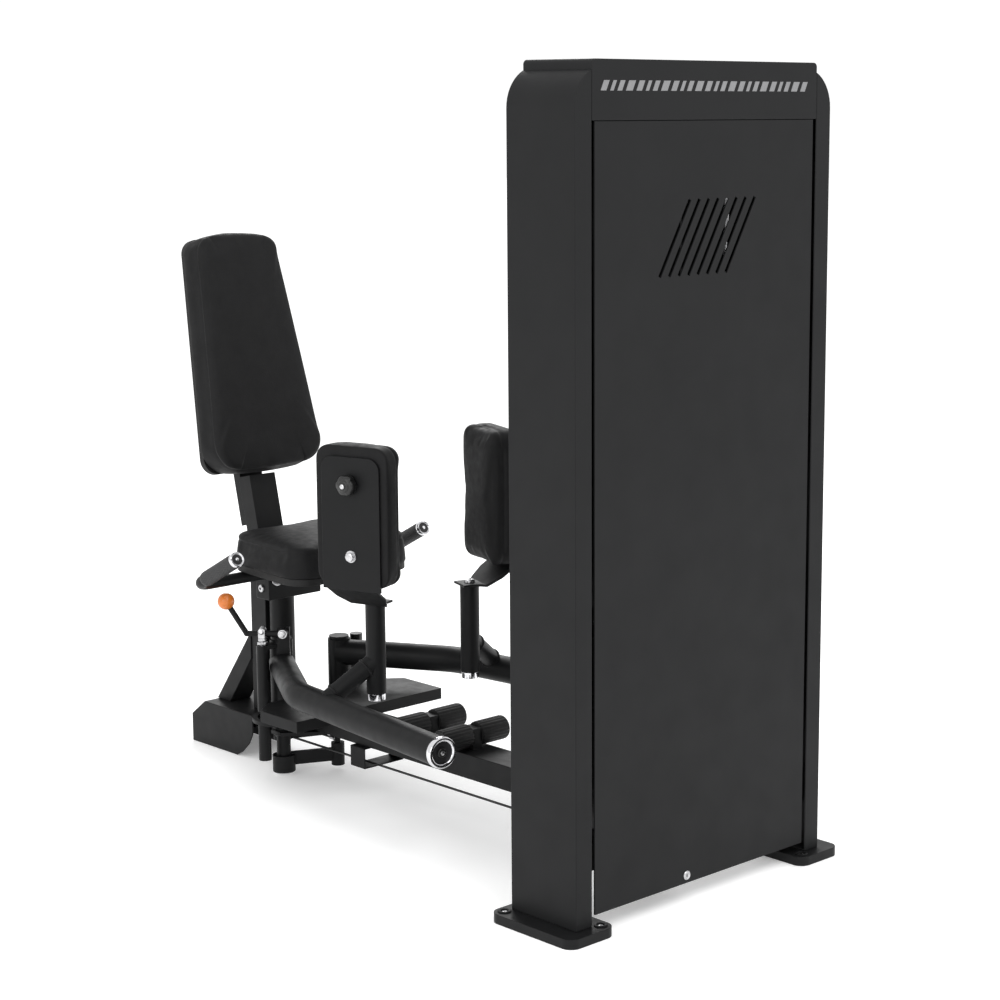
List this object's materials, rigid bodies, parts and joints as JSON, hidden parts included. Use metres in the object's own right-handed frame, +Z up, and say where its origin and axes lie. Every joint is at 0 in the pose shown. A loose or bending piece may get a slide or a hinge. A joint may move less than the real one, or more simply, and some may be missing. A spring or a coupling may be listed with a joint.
{
  "type": "hip abductor machine",
  "caption": "Seated hip abduction and adduction machine: padded seat, swinging leg arms with turning pads, a range lever, and an enclosed weight stack driven by a cable",
  "frame": {"origin": "on the floor, in the middle of the machine's outline", "axes": "+X the way the user faces, from the seat to the weight tower; +Y to the user's left; +Z up"},
  "size_m": [1.545, 0.724, 1.503],
  "materials": {
    "frame_paint": "satin black powder coat",
    "panel_paint": "satin black powder coat",
    "chrome": "polished",
    "steel": "satin",
    "weights": "black",
    "upholstery": "matte black leatherette",
    "board": "matte",
    "rubber": "matte",
    "sheave_plastic": "nylon",
    "cable_sheath": "coated cable",
    "knob_black": "semi gloss",
    "knob_orange": "gloss orange"
  },
  "bodies": {
    "frame": {"tower_column_left": "panel_paint", "tower_column_right": "panel_paint", "tower_header": "panel_paint", "tower_front_panel": "panel_paint", "tower_rear_panel": "panel_paint", "tower_beams": "frame_paint", "guide_rods": "chrome", "foot_plate_left": "frame_paint", "foot_plate_right": "frame_paint", "weight_plates_resting": "weights", "stack_bumpers": "rubber", "cable_run": "cable_sheath", "sheave_axles": "steel", "sheave_brackets": "frame_paint", "main_beam": "frame_paint", "seat_columns": "frame_paint", "rear_base": "frame_paint", "pivot_plate": "frame_paint", "seat_frame": "frame_paint", "seat_board": "board", "seat_cushion": "upholstery", "back_cushion": "upholstery", "back_board": "board", "back_frame": "frame_paint", "handle_frames": "frame_paint", "handle_grips": "rubber", "handle_caps": "chrome", "foot_rollers": "rubber", "roller_mounts": "frame_paint", "tread_plate": "frame_paint", "cable_guide_box": "frame_paint", "frame_bolts": "chrome"},
    "right_crank": {"right_crank": "frame_paint"},
    "left_crank": {"left_crank": "frame_paint"},
    "cross_link": {"cross_link": "frame_paint"},
    "cable_tail": {"cable_tail": "cable_sheath"},
    "right_arm": {"right_arm": "frame_paint", "right_arm_cap": "chrome"},
    "left_arm": {"left_arm": "frame_paint", "left_arm_cap": "chrome"},
    "right_pad": {"right_pad": "upholstery", "right_pad_bracket": "frame_paint", "right_pad_knob": "knob_black", "right_pad_fittings": "chrome"},
    "left_pad": {"left_pad": "upholstery", "left_pad_bracket": "frame_paint", "left_pad_knob": "knob_black", "left_pad_fittings": "chrome"},
    "range_lever": {"range_lever": "frame_paint", "lever_knob": "knob_orange"},
    "pull_pin": {"pull_pin": "chrome"},
    "left_pull_pin": {"left_pull_pin": "knob_black"},
    "lifted_stack": {"weight_plates_lifted": "weights", "stack_head": "chrome", "cable_drop": "cable_sheath"},
    "selector_pin": {"selector_pin": "steel"},
    "low_sheave": {"low_sheave": "sheave_plastic"},
    "top_sheave": {"top_sheave": "sheave_plastic"},
    "rear_sheave": {"rear_sheave": "sheave_plastic"}
  },
  "joints": [
    {"name": "exercise_swing", "type": "hinge", "parent": "frame", "child": "right_crank", "pos_m": [-0.4125, -0.078, 0.1], "axis": [0, 0, -1], "range_deg": [0, 35]},
    {"name": "left_swing", "type": "hinge", "parent": "frame", "child": "left_crank", "pos_m": [-0.4125, 0.078, 0.1], "axis": [0, 0, 1], "range_deg": [0, 35]},
    {"name": "right_start_position", "type": "hinge", "parent": "right_crank", "child": "right_arm", "pos_m": [-0.4125, -0.078, 0.1], "axis": [0, 0, -1], "range_deg": [0, 25]},
    {"name": "left_start_position", "type": "hinge", "parent": "left_crank", "child": "left_arm", "pos_m": [-0.4125, 0.078, 0.1], "axis": [0, 0, 1], "range_deg": [0, 25]},
    {"name": "right_pad_turn", "type": "hinge", "parent": "right_arm", "child": "right_pad", "pos_m": [-0.0325, -0.126, 0.45], "axis": [0, 0, 1], "range_deg": [0, 180]},
    {"name": "left_pad_turn", "type": "hinge", "parent": "left_arm", "child": "left_pad", "pos_m": [-0.0325, 0.126, 0.45], "axis": [0, 0, -1], "range_deg": [0, 180]},
    {"name": "lever_lift", "type": "hinge", "parent": "right_arm", "child": "range_lever", "pos_m": [-0.38209, -0.09568, 0.32], "axis": [-0.7071, 0.7071, 0], "range_deg": [0, 5.5], "stiffness_Nm_per_rad": 3, "springref_deg": -8.59},
    {"name": "pull_pin_slide", "type": "slide", "parent": "right_arm", "child": "pull_pin", "axis": [0, 0, 1], "range_m": [0, 0.0043]},
    {"name": "left_pin_slide", "type": "slide", "parent": "left_arm", "child": "left_pull_pin", "axis": [0, 0, 1], "range_m": [0, 0.012], "stiffness_N_per_m": 300, "springref_m": -0.01},
    {"name": "cross_link_turn", "type": "hinge", "parent": "left_crank", "child": "cross_link", "pos_m": [-0.38431, 0.06774, 0.076], "axis": [0, 0, 1], "range_deg": [-32, 0]},
    {"name": "cable_tail_turn", "type": "hinge", "parent": "right_crank", "child": "cable_tail", "pos_m": [-0.3625, 0.03, 0.066], "axis": [0, 0, 1], "range_deg": [0, 30]},
    {"name": "stack_lift", "type": "slide", "parent": "frame", "child": "lifted_stack", "axis": [0, 0, 1], "range_m": [0, 0.059], "deforming": ["cable_drop"]},
    {"name": "selector_pin_pull", "type": "slide", "parent": "lifted_stack", "child": "selector_pin", "axis": [-1, 0, 0], "range_m": [0, 0.04]},
    {"name": "low_sheave_turn", "type": "hinge", "parent": "frame", "child": "low_sheave", "pos_m": [0.5565, -0.03, 0.107], "axis": [0, 1, 0], "range_deg": [0, 85]},
    {"name": "top_sheave_turn", "type": "hinge", "parent": "frame", "child": "top_sheave", "pos_m": [0.6385, -0.015, 1.3], "axis": [0.3436, -0.9391, 0], "range_deg": [0, 85]},
    {"name": "rear_sheave_turn", "type": "hinge", "parent": "frame", "child": "rear_sheave", "pos_m": [-0.5925, 0, 0.066], "axis": [0, 0, -1], "range_deg": [0, 125]}
  ],
  "couplings": [
    {"joint": "left_swing", "follows": "exercise_swing", "ratio": 1},
    {"joint": "cross_link_turn", "follows": "exercise_swing", "ratio": -0.9},
    {"joint": "cable_tail_turn", "follows": "exercise_swing", "ratio": 0.7212},
    {"joint": "stack_lift", "follows": "exercise_swing", "m_per_rad": 0.09332},
    {"joint": "low_sheave_turn", "follows": "exercise_swing", "ratio": 2.2761},
    {"joint": "top_sheave_turn", "follows": "exercise_swing", "ratio": 2.1375},
    {"joint": "rear_sheave_turn", "follows": "exercise_swing", "ratio": 3.1107},
    {"joint": "pull_pin_slide", "follows": "lever_lift", "m_per_rad": 0.044}
  ]
}
